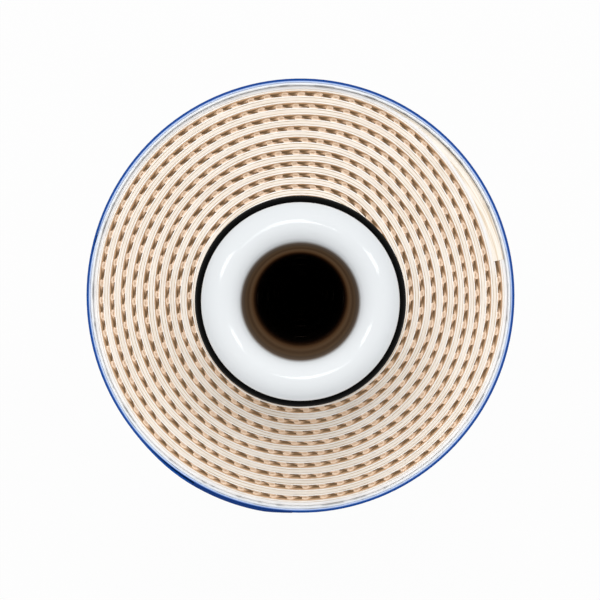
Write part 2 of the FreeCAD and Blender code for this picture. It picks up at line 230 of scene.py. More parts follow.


# %% [markdown]
# ## White moulded tube
# The product water tube is injection moulded in a glossy white plastic. Its face is bright, and the
# wall of its bore is given a dark brown colour, which is painted shade for the dark inside of the
# bore. White plastic lets a little light through: the bore glows faintly where the bare tube stands
# out of the roll, less behind the black O-rings, and not at all where the roll covers it. Real
# scattering through so thick a wall is slow and noisy, so this glow is painted light: a ramp over
# the height, fed to the emission. The outside gets a faint even painted glow for the same reason.
# One material that reads radius and height gives the painted shade and glow their soft edges.

# %% Finish of the tube
white_plastic = Finish("white_plastic", specular_ior_level=0.25, emission_strength=1.0,
                       coat_roughness=0.06, coat_ior=1.6)
radius, direction, height = white_plastic.round_place()
depth = (tube_high.z - height) / (tube_high.z - tube_low.z)
cloud = white_plastic.noise(60.0, 2.0)
body = white_plastic.mix(cloud, colour(207, 211, 214), colour(216, 219, 221))
# Painted shade: the dark brown of the bore wall stands for the shade inside the bore.
painted_bore_shade = white_plastic.mix(cloud, colour(60, 46, 34), colour(74, 57, 42))
# Painted light and shade: an emission ramp over the height, glowing near the mouth and black deep
# in the bore.
painted_bore_glow = white_plastic.node("ValToRGB", {"stops": [
    (0.0, colour(66, 60, 54)), (0.012, colour(50, 42, 34)), (0.024, colour(66, 52, 37)),
    (0.038, colour(52, 38, 25)), (0.055, colour(76, 59, 42)), (0.074, colour(66, 46, 28)),
    (0.088, colour(32, 18, 8)), (0.105, colour(8, 3, 1)), (0.12, colour(0, 0, 0))]},
    {"Fac": depth})
inside = white_plastic.step(radius, 4.93 * MM, 5.22 * MM, 1.0, 0.0)
inside = inside * white_plastic.step(height, plug_low.z + 1 * MM, plug_low.z + 2 * MM)
# The even emission of the outside is a faint painted glow.
white_plastic.feed(base_color=white_plastic.mix(inside, body, painted_bore_shade),
                   emission_color=white_plastic.mix(inside, colour(92, 94, 96), painted_bore_glow),
                   roughness=0.4 + 0.1 * cloud + 0.4 * inside, coat_weight=0.6 * (1 - inside))
lathe_place = white_plastic.stretched(white_plastic.place, 0.05, 0.05, 1)
turning = white_plastic.noise(900.0, 1.0, place=lathe_place)
white_plastic.relief(turning + 0.3 * white_plastic.noise(2500.0, 2.0), 0.01 * MM, 0.35)

# %% [markdown]
# ## Black rubber
# O-rings and brine seal are moulded in black rubber: nearly black, uneven where the ring was
# handled, with a very fine matt grain. The O-rings take a darker colour and almost no sheen, which
# is painted shade for the shadow they sit in between the tip and the roll; the brine seal keeps a
# satin sheen. One function makes both.

# %% Finish of the seals
def rubber_finish(name, sheen, low, high):
    made = Finish(name, specular_ior_level=sheen)
    wiped = made.noise(220.0, 3.0, 0.6)
    made.feed(base_color=made.mix(wiped, low, high), roughness=0.34 + 0.22 * wiped)
    made.relief(made.noise(4000.0, 2.0), 0.01 * MM, 0.4)
    return made


# Painted shade: the darker O-ring rubber with almost no sheen stands for the shadow between the tip
# and the roll.
painted_shade_ring_rubber = rubber_finish("painted_shade_ring_rubber", 0.02, colour(2, 2, 2), colour(9, 9, 8))
seal_rubber = rubber_finish("seal_rubber", 0.25, colour(14, 14, 15), colour(28, 28, 29))

# %% [markdown]
# ## Glue and wraps
# Cured glue takes the colour of the cream sheets and shows the threads that it soaked. The clear
# film turns blue towards the tape behind it. The tape is a thin blue plastic, pulled tight: it
# shows long soft creases along the pull, and it is darker where it laps itself.

# %% Finish of the glue
glue = Finish("cured_glue", roughness=0.4, specular_ior_level=0.4)
radius, direction, height = glue.round_place()
around = glue.node("CombineXYZ", None, {0: direction * (20 * MM), 1: radius, 2: height})
threads = glue.noise(1.0, 3.0, 0.6, glue.stretched(around, 160, 5200, 200))
glue.feed(base_color=glue.mix(glue.step(threads, 0.45, 0.66), colour(251, 243, 232),
                              colour(226, 206, 178)))
glue.relief(threads, 0.05 * MM, 0.4)

# %% Finish of the film
film_plastic = Finish("clear_film", specular_ior_level=0.4, coat_weight=0.2, coat_roughness=0.1)
flat = film_plastic.flat_place()
along, through, up = film_plastic.parts(flat)
x, y, height = film_plastic.parts(film_plastic.place)
y = y - OFF_CENTRE
radius = ((x / (1 - OVAL)) * (x / (1 - OVAL)) + y * y) ** 0.5
towards_tape = film_plastic.node("ValToRGB", {"stops": [
    (0.0, colour(242, 244, 247)), (0.35, colour(233, 238, 245)), (0.65, colour(205, 218, 244)),
    (0.8, colour(166, 190, 236)), (0.9, colour(86, 128, 200)), (1.0, colour(20, 72, 160))]},
    {"Fac": (radius - 21.6 * MM) / (0.45 * MM)})
haze = film_plastic.noise(900.0, 2.0)
# Painted shade: grey dashes along the inner face of each film turn stand for the thin shadow line
# in the gap between turns.
gap_shade_dashes = film_plastic.noise(1.0, 2.0, 0.6, film_plastic.stretched(flat, 420, 3000, 90))
painted_gap_shade = film_plastic.step(gap_shade_dashes, 0.5, 0.62)
edge = film_plastic.step(through, 0.02 * MM, 0.06 * MM, 1.0, 0.0)
shown = film_plastic.mix(0.65 * painted_gap_shade * edge, towards_tape, colour(150, 152, 156))
film_plastic.feed(base_color=shown, roughness=0.25 + 0.15 * haze)
film_plastic.relief(haze, 0.02 * MM, 0.3)

# %% Finish of the tape
tape_plastic = Finish("blue_tape", specular_ior_level=0.12)
radius, direction, height = tape_plastic.round_place()
around = tape_plastic.node("CombineXYZ", None, {0: direction * (22 * MM), 1: radius, 2: height})
crease = tape_plastic.noise(1.0, 3.0, 0.55, tape_plastic.stretched(around, 60, 60, 420))
pulled = tape_plastic.noise(1.0, 2.0, 0.5, tape_plastic.stretched(around, 25, 25, 90))
lap = (tape_plastic.step(direction, math.radians(-122), math.radians(-119.5))
       * tape_plastic.step(direction, math.radians(-92.2), math.radians(-91.8), 1.0, 0.0))
blue = tape_plastic.mix(pulled, colour(0, 58, 132), colour(2, 74, 158))
tape_plastic.feed(base_color=tape_plastic.mix(0.6 * lap, blue, colour(0, 32, 92)),
                  roughness=0.2 + 0.16 * crease)
tape_plastic.relief(crease + 0.6 * pulled, 0.12 * MM, 0.35)

# %% [markdown]
# ## Making a piece
# Every mesh ends in the same way: doubles are merged, the faces are pointed outwards, the edges
# that are sharp on the real piece are kept sharp, the piece gets its finish as its material, it is
# hung on the CAD body that carries it, and the CAD nodes that it stands for are hidden.

# %% Finish a mesh as a piece of the element
def add_piece(name, mesh, finish, nodes, sharp=35):
    """Object from a finished mesh, riding on the element in place of its CAD nodes."""
    mesh.materials.clear()
    mesh.materials.append(finish.material)
    mesh.polygons.foreach_set("use_smooth", [True] * len(mesh.polygons))
    mesh.set_sharp_from_angle(angle=math.radians(sharp))
    piece = bpy.data.objects.new(name, mesh)
    bpy.context.scene.collection.objects.link(piece)
    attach(piece, "root")
    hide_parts(*nodes)
    triangles = sum(len(face.vertices) - 2 for face in mesh.polygons)
    print(f"{name}: {triangles} triangles")
    return piece


def close_mesh(name, bm):
    """Mesh from a bmesh, its doubles merged and its faces pointing outwards."""
    bmesh.ops.remove_doubles(bm, verts=bm.verts, dist=0.0005 * MM)
    bmesh.ops.recalc_face_normals(bm, faces=bm.faces)
    mesh = bpy.data.meshes.new(name)
    bm.to_mesh(mesh)
    bm.free()
    return mesh


# %% [markdown]
# ## Turned pieces
# Tube, plug, O-rings and brine seal are all round. A turned piece could be a subdivided
# cylinder, but grooves and lips would then have to be cut into it. It is simpler to draw half
# of its section once, round the corners that are round on the real piece, and spin the section
# about the axis, as a lathe does.

# %% Spin a section about the axis
ROUND_STEPS = 160


def spin_section(corners, rounds, segments=6, steps=ROUND_STEPS):
    """Solid of revolution. corners are (radius, height); rounds gives some corners a radius."""
    bm = bmesh.new()
    points = [bm.verts.new((radius, 0, height)) for radius, height in corners]
    bm.faces.new(points)
    for number, amount in rounds.items():
        bmesh.ops.bevel(bm, geom=[points[number]], offset=amount, offset_type="OFFSET",
                        segments=segments, profile=0.5, affect="VERTICES", material=-1)
    outline = list(bm.edges)
    bmesh.ops.delete(bm, geom=list(bm.faces), context="FACES_ONLY")
    bmesh.ops.spin(bm, geom=outline, cent=(0, 0, 0), axis=(0, 0, 1), dvec=(0, 0, 0),
                   angle=FULL_TURN, steps=steps, use_merge=True, use_duplicate=False)
    return bm


# %% [markdown]
# ## The tube
# The tube's product end is a thick smooth ring: inner and outer edge are rounded until they
# nearly meet. Below it are two grooves for the O-rings. The feed end has a socket for the plug.

# %% Section of the tube
RING_HEIGHTS = (293.3 * MM, 287.7 * MM)
GROOVE_RADIUS = 6.85 * MM
HALF_GROOVE = 1.5 * MM
TIP_ROUND = 1.7 * MM
END_ROUND = 0.45 * MM
EDGE = 0.15 * MM

tube_corners = [(BORE_RADIUS, plug_high.z), (BORE_RADIUS, tube_high.z), (TUBE_RADIUS, tube_high.z)]
for middle in RING_HEIGHTS:
    top, bottom = middle + HALF_GROOVE, middle - HALF_GROOVE
    tube_corners += [(TUBE_RADIUS, top), (GROOVE_RADIUS, top),
                     (GROOVE_RADIUS, bottom), (TUBE_RADIUS, bottom)]
tube_corners += [(TUBE_RADIUS, 0), (SOCKET_RADIUS, 0), (SOCKET_RADIUS, plug_high.z)]
tube_rounds = {1: TIP_ROUND, 2: TIP_ROUND, 3: EDGE, 6: EDGE, 7: EDGE, 10: EDGE,
               11: END_ROUND, 12: EDGE}
tube_bm = spin_section(tube_corners, tube_rounds, segments=12)
tube_mesh = close_mesh("tube", tube_bm)

# %% [markdown]
# Water enters the tube through small holes in its wall, two crossed rows of them under the
# leaf. They are drilled here as they are in the workshop, with straight bits: short cylinders
# joined in one mesh and taken away with a Boolean modifier.

# %% Drill the tube
HOLE_RADIUS = 0.8 * MM
HOLE_LEVELS = 6
FIRST_HOLE = leaf_low.z + 14 * MM
ROW_SHIFT = 12 * MM
row_length = leaf_high.z - leaf_low.z - 28 * MM - ROW_SHIFT

bits = bmesh.new()
for row, axis in enumerate("XY"):
    for level in range(HOLE_LEVELS):
        height = FIRST_HOLE + row * ROW_SHIFT + level * row_length / (HOLE_LEVELS - 1)
        lay = Matrix.Rotation(math.pi / 2, 4, axis)
        bmesh.ops.create_cone(bits, cap_ends=True, segments=20, radius1=HOLE_RADIUS,
                              radius2=HOLE_RADIUS, depth=4 * TUBE_RADIUS,
                              matrix=Matrix.Translation((0, 0, height)) @ lay)
bits_mesh = close_mesh("drill_bits", bits)


def cut_away(mesh, tool_mesh):
    """Mesh with the tool's shape taken out of it."""
    work = bpy.data.objects.new("work", mesh)
    tool = bpy.data.objects.new("tool", tool_mesh)
    for item in (work, tool):
        bpy.context.scene.collection.objects.link(item)
    cut = work.modifiers.new("cut", "BOOLEAN")
    cut.operation = "DIFFERENCE"
    cut.solver = "EXACT"
    cut.object = tool
    bpy.context.view_layer.update()
    graph = bpy.context.evaluated_depsgraph_get()
    result = bpy.data.meshes.new_from_object(work.evaluated_get(graph))
    for item in (work, tool):
        bpy.data.objects.remove(item)
    return result


add_piece("tube", cut_away(tube_mesh, bits_mesh), white_plastic,
          ["permeate_tube"])

# %% [markdown]
# ## Plug and O-rings
# The plug closes the feed end of the tube. It is a plain turned disc with a small dimple where the
# plastic was injected. An O-ring is a circle spun about the axis.

# %% Plug in the feed end
PLUG_RADIUS = 5.37 * MM
DIMPLE_RADIUS = 1.2 * MM
DIMPLE_DEPTH = 0.35 * MM
plug_corners = [(0, plug_low.z + DIMPLE_DEPTH), (DIMPLE_RADIUS, plug_low.z + DIMPLE_DEPTH),
                (DIMPLE_RADIUS + 0.25 * MM, plug_low.z), (PLUG_RADIUS, plug_low.z),
                (PLUG_RADIUS, plug_high.z), (0, plug_high.z)]
plug_bm = spin_section(plug_corners, {3: 0.4 * MM, 4: 0.4 * MM, 2: 0.1 * MM}, segments=4, steps=96)
add_piece("plug", close_mesh("plug", plug_bm), white_plastic, ["tube_end_plug"])

# %% O-rings in their grooves
CORD_RADIUS = 1.23 * MM
CORD_STEPS = 28
for name, node, middle in (("upper_o_ring", "o_ring_outer", RING_HEIGHTS[0]),
                           ("lower_o_ring", "o_ring_inner", RING_HEIGHTS[1])):
    bm = bmesh.new()
    lay = Matrix.Rotation(math.pi / 2, 4, "X")
    lay = Matrix.Translation((GROOVE_RADIUS + CORD_RADIUS, 0, middle)) @ lay
    bmesh.ops.create_circle(bm, segments=CORD_STEPS, radius=CORD_RADIUS, matrix=lay)
    bmesh.ops.spin(bm, geom=list(bm.edges), cent=(0, 0, 0), axis=(0, 0, 1), dvec=(0, 0, 0),
                   angle=FULL_TURN, steps=ROUND_STEPS, use_merge=True, use_duplicate=False)
    add_piece(name, close_mesh(name, bm), painted_shade_ring_rubber, [node])

# %% [markdown]
# ## Brine seal
# The brine seal is a rubber cup ring. Its lip leans out towards the feed, so that the feed
# water presses it against the housing. The section is drawn with its groove and lip, and all
# the corners are rounded, since rubber from a mould has no sharp edge.

# %% Section of the brine seal
SEAL_INSIDE = seal_high.x - 3.0 * MM
seal_corners = [(SEAL_INSIDE, 0), (SEAL_INSIDE + 1.0 * MM, 0),
                (SEAL_INSIDE + 1.0 * MM, 7.5 * MM), (SEAL_INSIDE + 1.4 * MM, 7.5 * MM),
                (SEAL_INSIDE + 2.2 * MM, 0.8 * MM), (SEAL_INSIDE + 3.0 * MM, 0.8 * MM),
                (SEAL_INSIDE + 2.7 * MM, 7.5 * MM), (SEAL_INSIDE + 2.7 * MM, 11 * MM),
                (SEAL_INSIDE, 11 * MM)]
seal_rounds = {0: 0.2 * MM, 1: 0.3 * MM, 2: 0.15 * MM, 3: 0.15 * MM, 4: 0.25 * MM,
               5: 0.3 * MM, 6: 1.0 * MM, 7: 0.5 * MM, 8: 0.2 * MM}
seal_corners = [(radius, seal_low.z + height) for radius, height in seal_corners]
seal_bm = spin_section(seal_corners, seal_rounds, segments=5, steps=192)
add_piece("brine_seal_ring", close_mesh("brine_seal_ring", seal_bm), seal_rubber,
          ["brine_seal"])

# %% [markdown]
# ## Rolling a leaf
# In the factory the leaf is built flat on a table and then rolled on the tube. The same is done
# here: each layer is a long flat plate, x along it, y through it and z up the element, and
# `Winding.roll` moves its points to their places in the roll. A turn is a circle about the
# axis, but for a sector where it climbs to the next turn on two arcs. Arcs of all the layers
# share their centres, so the layers nest. Before it is moved, the flat place of each point is
# kept as an attribute for the finishes.

# %% The way of a wound sheet
class Winding:
    """Way of a sheet rolled on a round core, from the end of its first climb sector."""

    def __init__(self, core, pitch, climb, start, turns, neutral=0.0):
        reach = pitch / (2 * (1 - math.cos(climb / 2)))
        rising = (-reach * math.cos(start), -reach * math.sin(start))
        settling = (reach * math.cos(start + climb), reach * math.sin(start + climb))
        arcs = []
        for turn in range(turns):
            radius = core + turn * pitch
            arcs.append((0, 0, radius, start + climb, start + FULL_TURN))
            arcs.append((*rising, radius + reach, start, start + climb / 2))
            arcs.append((*settling, radius + pitch - reach, start + climb / 2, start + climb))
        self.arcs = np.array(arcs)
        self.neutral = neutral
        lengths = (self.arcs[:, 2] + neutral) * (self.arcs[:, 4] - self.arcs[:, 3])
        self.marks = np.concatenate([[0.0], np.cumsum(lengths)])

    def length(self, turns, short_of=0.0):
        """Length of sheet up to the next climb after some turns, less an angle of it."""
        last = 3 * turns - 2
        return self.marks[last] - short_of * (self.arcs[last - 1, 2] + self.neutral)

    def roll(self, flat):
        """Places in the roll of flat points."""
        number = np.clip(np.searchsorted(self.marks, flat[:, 0], side="right") - 1,
                         0, len(self.arcs) - 1)
        x, y, radius, first, _ = self.arcs[number].T
        angle = first + (flat[:, 0] - self.marks[number]) / (radius + self.neutral)
        return np.stack([x + (radius + flat[:, 1]) * np.cos(angle),
                         y + (radius + flat[:, 1]) * np.sin(angle), flat[:, 2]], axis=1)


# %% [markdown]
# A real leaf isn't wound evenly. The net gives a little here and there, so the turns wander in
# and out by a few hundredths of a millimetre, the whole roll is a little oval, and it sits a
# third of a millimetre off the tube's axis. All layers are moved alike at the same place, so
# that none of them cuts another, and nothing moves at the tube. The brine seal stays on the
# axis, so the tape runs a little into it on the side to which the roll has moved.

# %% Wander of the turns
WANDER = 0.035 * MM
OVAL_EASE = 0.3
WAVES = ((1, 0.0, 0.6, math.pi), (3, 0.9, 1.0, 0.4), (5, -1.3, 0.7, 1.9), (8, 1.7, 0.5, 4.1),
         (13, -2.1, 0.3, 2.6))


def wander(places):
    """Moves places in the roll in or out, and makes the roll a little oval and off centre."""
    radius = np.hypot(places[:, 0], places[:, 1])
    direction = np.arctan2(places[:, 1], places[:, 0])
    share = np.clip((radius - TUBE_RADIUS) / (LEAF_RADIUS - TUBE_RADIUS), 0, 1)
    shift = sum(size * np.sin(count * direction + drift * radius / MM + phase)
                for count, drift, size, phase in WAVES)
    grown = 1 + WANDER * np.sin(math.pi * share) * shift / radius
    narrowed = grown * (1 - OVAL * share ** OVAL_EASE)
    places = places * np.stack([narrowed, grown, np.ones_like(grown)], axis=1)
    places[:, 1] += OFF_CENTRE * share
    return places


def roll_up(mesh, winding):
    """Rolls a flat mesh, and keeps its flat places as an attribute."""
    flat = np.zeros(len(mesh.vertices) * 3)
    mesh.vertices.foreach_get("co", flat)
    kept = mesh.attributes.new("flat", "FLOAT_VECTOR", "POINT")
    kept.data.foreach_set("vector", flat)
    places = wander(winding.roll(flat.reshape(-1, 3)))
    mesh.vertices.foreach_set("co", places.ravel())
    mesh.update()
    return mesh


leaf = Winding(TUBE_RADIUS, LEAF_PITCH, math.radians(70), math.radians(10), LEAF_TURNS + 1,
               neutral=(SPACER[0] + SPACER[1]) / 2)
print("leaf rolled from", round(leaf.length(LEAF_TURNS) / MM), "mm")

# %% [markdown]
# ## Finish of the sheets
# Membrane and permeate cloth are both cream, the cloth a little darker. What tells them apart at
# the cut end is the glue that soaked into their edges: a tan line between one sheet and the next,
# strong in one place and gone in the next. Each sheet remembers its flat place as an attribute, so
# the line can follow the sheet round all its turns. Down in the roll the sheets are darkened to
# brown with depth below the ends, which is painted shade for the narrow slots between the sheets.
# The thin sheets let some warm light through, which a faint painted glow stands for. Round the
# outside of the roll this painted shade is left out, and the sheets there are given a plain white.

# %% Depth in the roll and painted glow
def depth_in_roll(finish, up):
    """Depth below the nearer end of the leaf."""
    return finish.node("Math", {"operation": "MINIMUM"}, {0: up - leaf_low.z, 1: leaf_high.z - up})


def painted_warm_glow(finish, up, share=1.0):
    """Painted light: a glow that stands for light coming through the sheets, from just below the
    end of the roll.
    """
    ramp = finish.node("ValToRGB", {"stops": [
        (0.0, colour(0, 0, 0)), (0.05, colour(0, 0, 0)), (0.2, colour(96, 83, 66)),
        (0.5, colour(88, 73, 55)), (1.0, colour(38, 29, 20))]},
        {"Fac": depth_in_roll(finish, up) / (4 * MM)})
    return finish.mix(share, (0, 0, 0, 1), ramp)


# %% Finish of the rolled sheets
def sheet_finish(name, light, dark, faces, outside):
    """Cream sheet with a tan line of glue along the named faces, heights in a turn."""
    made = Finish(name, specular_ior_level=0.3, emission_strength=1.0)
    along, through, up = made.parts(made.flat_place())
    depth = depth_in_roll(made, up)
    fibres = made.noise(1.0, 3.0, 0.6, made.stretched(made.flat_place(), 900, 2500, 2500))
    drift = made.noise(1.0, 2.0, 0.5, made.stretched(made.flat_place(), 110, 400, 40))
    white = made.step(along, outside - 2 * MM, outside + 2 * MM)
    base = made.mix(made.step(drift, 0.35, 0.65), light, dark)
    base = made.mix(white, base, colour(246, 244, 243))
    soaked = 0.0
    for face in faces:
        away = made.node("Math", {"operation": "ABSOLUTE"}, {0: through - face})
        soaked = soaked + made.step(away, 0.015 * MM, 0.055 * MM, 1.0, 0.0)
    patches = made.noise(1.0, 2.0, 0.6, made.stretched(made.flat_place(), 260, 900, 60))
    tan = made.mix(fibres, colour(206, 178, 142), colour(226, 204, 172))
    soaked = soaked * (1 - 0.8 * white) * made.step(patches, 0.34, 0.6, 0.25, 0.9)
    glued = made.mix(soaked, base, tan)
    # Painted shade: the base colour is multiplied by a brown that darkens with depth below the ends
    # of the roll.
    painted_depth_shade = made.node("ValToRGB", {"stops": [
        (0.0, colour(255, 255, 255)), (0.05, colour(255, 255, 255)), (0.15, colour(246, 230, 210)),
        (0.35, colour(222, 198, 170)), (0.6, colour(188, 162, 132)), (1.0, colour(150, 126, 98))]},
        {"Fac": depth / (2 * MM)})
    with_painted_shade = made.node("Mix", {"data_type": "RGBA", "blend_type": "MULTIPLY"},
                        {0: 1 - 0.8 * white, 6: glued, 7: painted_depth_shade}, output=2)
    made.feed(base_color=with_painted_shade, emission_color=painted_warm_glow(made, up),
              roughness=0.62 + 0.2 * fibres)
    made.relief(fibres, 0.03 * MM, 0.4)
    return made


cloth = sheet_finish("carrier_cloth", colour(249, 240, 229), colour(242, 231, 218),
                     CARRIER, leaf.length(LEAF_TURNS))
membrane = sheet_finish("cream_membrane", colour(255, 251, 246), colour(252, 246, 239),
                        (INNER_MEMBRANE[0], OUTER_MEMBRANE[1]), leaf.length(LEAF_TURNS))

# %% Finish of the net
net_plastic = Finish("net_plastic", roughness=0.42, specular_ior_level=0.4, emission_strength=1.0)
milk = net_plastic.noise(700.0, 2.0)
net_cream = net_plastic.mix(milk, colour(228, 212, 196), colour(242, 228, 214))
up = net_plastic.parts(net_plastic.place)[2]
# Painted shade: the strands turn brown with depth below the end of the roll.
painted_shade_share = net_plastic.step(depth_in_roll(net_plastic, up), 0.72 * MM, 1.25 * MM)
net_plastic.feed(base_color=net_plastic.mix(painted_shade_share, net_cream, colour(140, 114, 84)),
                 emission_color=painted_warm_glow(net_plastic, up, 1 - 0.3 * painted_shade_share))
net_plastic.relief(net_plastic.noise(3000.0, 1.0), 0.01 * MM, 0.4)

# %% [markdown]
# ## Sheets
# A flat sheet is a cube scaled to a plate. Its long edges are bevelled a little, since a cut
# edge of paper or cloth isn't sharp, and it is divided along its length so that it can bend.
# The two cut ends wave up and down by less than a tenth of a millimetre.

# %% A flat sheet
STATION = 0.95 * MM
CUT_WAVE = 0.04 * MM


def flat_plate(start, end, low, high, foot, top, rim=0.018 * MM, segments=2):
    """Bmesh of a long flat plate with softened long edges."""
    bm = bmesh.new()
    size = Vector((end - start, high - low, top - foot))
    middle = Vector((start + end, low + high, foot + top)) / 2
    bmesh.ops.create_cube(bm, size=1.0,
                          matrix=Matrix.Translation(middle) @ Matrix.Diagonal((*size, 1)))
    bmesh.ops.bevel(bm, geom=along_edges(bm), offset=rim, offset_type="OFFSET",
                    segments=segments, profile=0.5, affect="EDGES", material=-1)
    cuts = max(1, round(size.x / STATION))
    bmesh.ops.subdivide_edges(bm, edges=along_edges(bm), cuts=cuts, use_grid_fill=True)
    return bm


def along_edges(bm):
    """Edges that run along the sheet."""
    return [e for e in bm.edges
            if abs(e.verts[0].co.x - e.verts[1].co.x) > 0.9 * e.calc_length()]


def wave_cut(mesh, foot, top, phase):
    """Lets the cut ends of a flat sheet wave along it."""
    for point in mesh.vertices:
        along = point.co.x / MM
        wave = 1.1 + math.sin(along * 0.9 + phase) * math.sin(along * 0.23 + phase)
        if top - point.co.z < 0.1 * MM:
            point.co.z -= CUT_WAVE * wave
        elif point.co.z - foot < 0.1 * MM:
            point.co.z += CUT_WAVE * wave


# %% [markdown]
# The permeate carrier is a close knitted cloth. It starts on the tube and goes on for one more
# turn than the rest, so that it covers the outside of the leaf.

# %% Permeate carrier
carrier_bm = flat_plate(0, leaf.length(LEAF_TURNS + 1), *CARRIER, leaf_low.z, leaf_high.z)
carrier_mesh = close_mesh("carrier", carrier_bm)
wave_cut(carrier_mesh, leaf_low.z, leaf_high.z, 0.3)
add_piece("carrier", roll_up(carrier_mesh, leaf), cloth,
          ["permeate_carrier"])

# %% [markdown]
# The membrane is one sheet folded in two round the inner edge of the net. Two plates give its
# halves. The section at the start of the inner half is spun half a turn, and its last ring
# merges with the start of the outer half, so that the sheet is one skin.

# %% Membrane, folded at the tube
FOLD_LEAD = math.radians(4)
fold_start = FOLD_LEAD * (TUBE_RADIUS + leaf.neutral)
leaf_end = leaf.length(LEAF_TURNS)


def join_bmesh(*parts):
    """One bmesh of several."""
    whole = bmesh.new()
    for part in parts:
        mesh = bpy.data.meshes.new("part")
        part.to_mesh(mesh)
        part.free()
        whole.from_mesh(mesh)
        bpy.data.meshes.remove(mesh)
    return whole


membrane_bm = join_bmesh(
    flat_plate(fold_start, leaf_end, *INNER_MEMBRANE, leaf_low.z, leaf_high.z),
    flat_plate(fold_start, leaf_end, *OUTER_MEMBRANE, leaf_low.z, leaf_high.z))
starts = [face for face in membrane_bm.faces
          if all(abs(corner.co.x - fold_start) < 0.001 * MM for corner in face.verts)]
inner_start = min(starts, key=lambda face: face.calc_center_median().y)
ring = list(inner_start.edges)
bmesh.ops.delete(membrane_bm, geom=starts, context="FACES_ONLY")
bmesh.ops.spin(membrane_bm, geom=ring, cent=(fold_start, leaf.neutral, 0), axis=(0, 0, 1),
               dvec=(0, 0, 0), angle=-math.pi, steps=10, use_merge=False, use_duplicate=False)
membrane_mesh = close_mesh("membrane", membrane_bm)
wave_cut(membrane_mesh, leaf_low.z, leaf_high.z, 2.1)
add_piece("membrane", roll_up(membrane_mesh, leaf), membrane,
          ["membrane_sheet"])

# %% [markdown]
# ## Feed spacer
# The feed spacer is a net of two layers of strands that cross at right angles and are welded
# where they cross. At the ends of the roll its strands show as small bright stubs with dark
# slots between them, and nothing else gives that look. Only the last few millimetres can be
# seen, so real strands are made there, and the rest is a plain core. One strand is an eight-sided
# bar, an Array modifier repeats it, and planes trim the net to the leaf.

# %% Strands of the net
STRAND_SPACING = 1.76 * MM
STRAND_WIDE = 0.27 * MM
STRAND_HIGH = 0.155 * MM
NET_DEPTH = 2.8 * MM
NET_SETBACK = 0.7 * MM
STRANDS = int((leaf_end - fold_start) / STRAND_SPACING)
net_top = leaf_high.z - NET_SETBACK
net_foot = leaf_low.z + NET_SETBACK
rng = np.random.default_rng(7)
number = np.arange(STRANDS)
drift = 0.3 * np.sin(number * 0.11) + 0.25 * np.sin(number * 0.037 + 1.0)
drift = (drift + rng.normal(0, 0.07, STRANDS)) * MM


def strand_layer(side, middle):
    """Slanting strands of one layer of the net, side by side along the leaf."""
    bm = bmesh.new()
    reach = (NET_DEPTH + 1.2 * MM) * math.sqrt(2)
    below = NET_DEPTH / 2 - 0.3 * MM
    turned = Matrix.Rotation(side * math.radians(45), 4, "Y")
    turned = turned @ Matrix.Diagonal((STRAND_WIDE, STRAND_HIGH, reach, 1))
    centre = Vector((fold_start - side * below, middle, net_top - below))
    bmesh.ops.create_cone(bm, cap_ends=True, segments=8, radius1=1, radius2=1, depth=1,
                          matrix=Matrix.Translation(centre) @ turned)
    sides = [e for e in bm.edges if e.calc_length() > 0.5 * reach]
    bmesh.ops.subdivide_edges(bm, edges=sides, cuts=2, use_grid_fill=True)
    strand = bpy.data.objects.new("strand", close_mesh("strand", bm))
    bpy.context.scene.collection.objects.link(strand)
    points = len(strand.data.vertices)
    row = strand.modifiers.new("row", "ARRAY")
    row.count = STRANDS
    row.use_relative_offset = False
    row.use_constant_offset = True
    row.constant_offset_displace = (STRAND_SPACING, 0, 0)
    bpy.context.view_layer.update()
    graph = bpy.context.evaluated_depsgraph_get()
    mesh = bpy.data.meshes.new_from_object(strand.evaluated_get(graph))
    bpy.data.objects.remove(strand)
    places = np.zeros(len(mesh.vertices) * 3)
    mesh.vertices.foreach_get("co", places)
    places = places.reshape(STRANDS, points, 3)
    places[:, :, 0] += (drift + rng.normal(0, 0.06 * MM, STRANDS))[:, None]
    mesh.vertices.foreach_set("co", places.ravel())
    layer = bmesh.new()
    layer.from_mesh(mesh)
    bpy.data.meshes.remove(mesh)
    return layer


def trim(bm, point, normal):
    """Cuts away what lies beyond a plane and closes the cuts."""
    geom = list(bm.verts) + list(bm.edges) + list(bm.faces)
    bmesh.ops.bisect_plane(bm, geom=geom, plane_co=point, plane_no=normal, clear_outer=True)
    bmesh.ops.holes_fill(bm, edges=[e for e in bm.edges if e.is_boundary], sides=0)


net_bm = join_bmesh(strand_layer(1, SPACER[0] + STRAND_HIGH),
                    strand_layer(-1, SPACER[1] - STRAND_HIGH))
trim(net_bm, (0, 0, net_top), (0, 0, 1))
trim(net_bm, (fold_start, 0, 0), (-1, 0, 0))
trim(net_bm, (leaf_end, 0, 0), (1, 0, 0))
middle_height = (leaf_low.z + leaf_high.z) / 2
bmesh.ops.mirror(net_bm, geom=list(net_bm.verts) + list(net_bm.edges) + list(net_bm.faces),
                 matrix=Matrix.Translation((0, 0, -middle_height)), merge_dist=-1, axis="Z")
core_bm = flat_plate(fold_start, leaf_end, SPACER[0] + 0.03 * MM, SPACER[1] - 0.03 * MM,
                     net_foot + NET_DEPTH - 0.4 * MM, net_top - NET_DEPTH + 0.4 * MM, segments=1)
net_mesh = close_mesh("net", join_bmesh(net_bm, core_bm))
add_piece("net", roll_up(net_mesh, leaf), net_plastic,
          ["feed_spacer"], sharp=50)

# %% [markdown]
# ## Film and tape
# Two turns of clear film hold the leaf closed, and a blue tape goes over them with a lap seam.
# Both are rolled as the leaf is, on their own windings, and made oval and off centre as the outside
# of the leaf is.

# %% Film wrap
WRAP_CLIMB = math.radians(25)
film = Winding(LEAF_RADIUS + 0.04 * MM, FILM_PITCH, WRAP_CLIMB, math.radians(150), 3)


